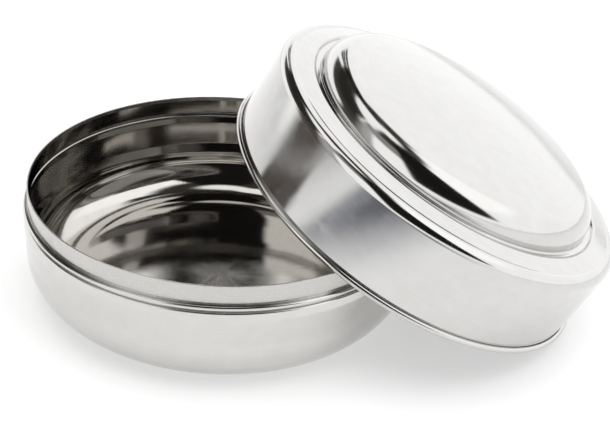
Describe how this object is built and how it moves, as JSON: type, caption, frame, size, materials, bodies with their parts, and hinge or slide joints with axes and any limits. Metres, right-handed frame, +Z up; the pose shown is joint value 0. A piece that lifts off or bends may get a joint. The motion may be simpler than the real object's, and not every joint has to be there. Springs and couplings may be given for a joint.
{
  "type": "spice box",
  "caption": "Round stainless steel spice box: a deep pan with a collar under its rim, and a domed lid whose skirt slips over the collar. Lid off, leaning on the pan.",
  "frame": {"origin": "centre of the pan's underside, on the surface it stands on", "axes": "+Z up along the pan's axis, +X towards the side where the lid leans"},
  "size_m": [0.3003, 0.2132, 0.1273],
  "materials": {
    "pan_steel": "polished stainless steel, brushed lightly on the outside",
    "lid_steel": "polished stainless steel"
  },
  "bodies": {
    "pan": {"pan": "pan_steel"},
    "lid": {"lid": "lid_steel"}
  },
  "joints": [
    {"name": "lid_lift", "type": "slide", "parent": "pan", "child": "lid", "axis": [0, 0, 1], "range_m": [0, 0.2]}
  ]
}
